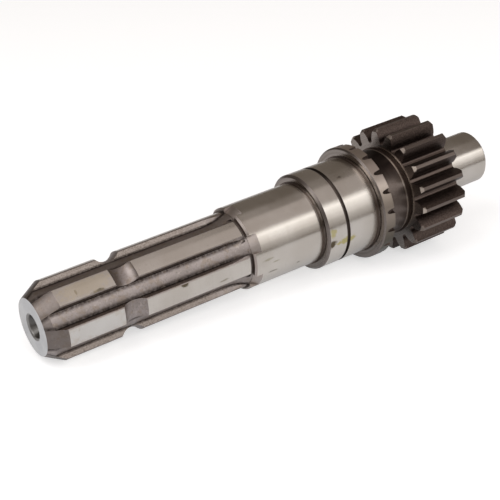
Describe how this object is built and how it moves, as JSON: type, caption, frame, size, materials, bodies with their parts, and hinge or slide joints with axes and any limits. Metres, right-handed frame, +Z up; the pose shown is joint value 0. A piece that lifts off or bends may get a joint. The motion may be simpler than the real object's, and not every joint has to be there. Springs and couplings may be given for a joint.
{
  "type": "power take-off stub shaft",
  "caption": "Steel stub shaft with a splined output end, ground seats for a seal and a bearing, a collar, a spur gear and an inner journal, all in one piece.",
  "frame": {"origin": "on the surface that the shaft lies on, under the middle of its box", "axes": "+X runs along the shaft from its splined end to its inner journal, +Z is up; the shaft lies on two gear teeth and one spline, so its axis rises towards +X by 4.17 degrees"},
  "size_m": [0.239, 0.06, 0.0609],
  "materials": {
    "steel": "ground seats and lands, milled splines, hardened dark gear"
  },
  "bodies": {
    "root": {"stub_shaft": "steel"}
  },
  "joints": []
}
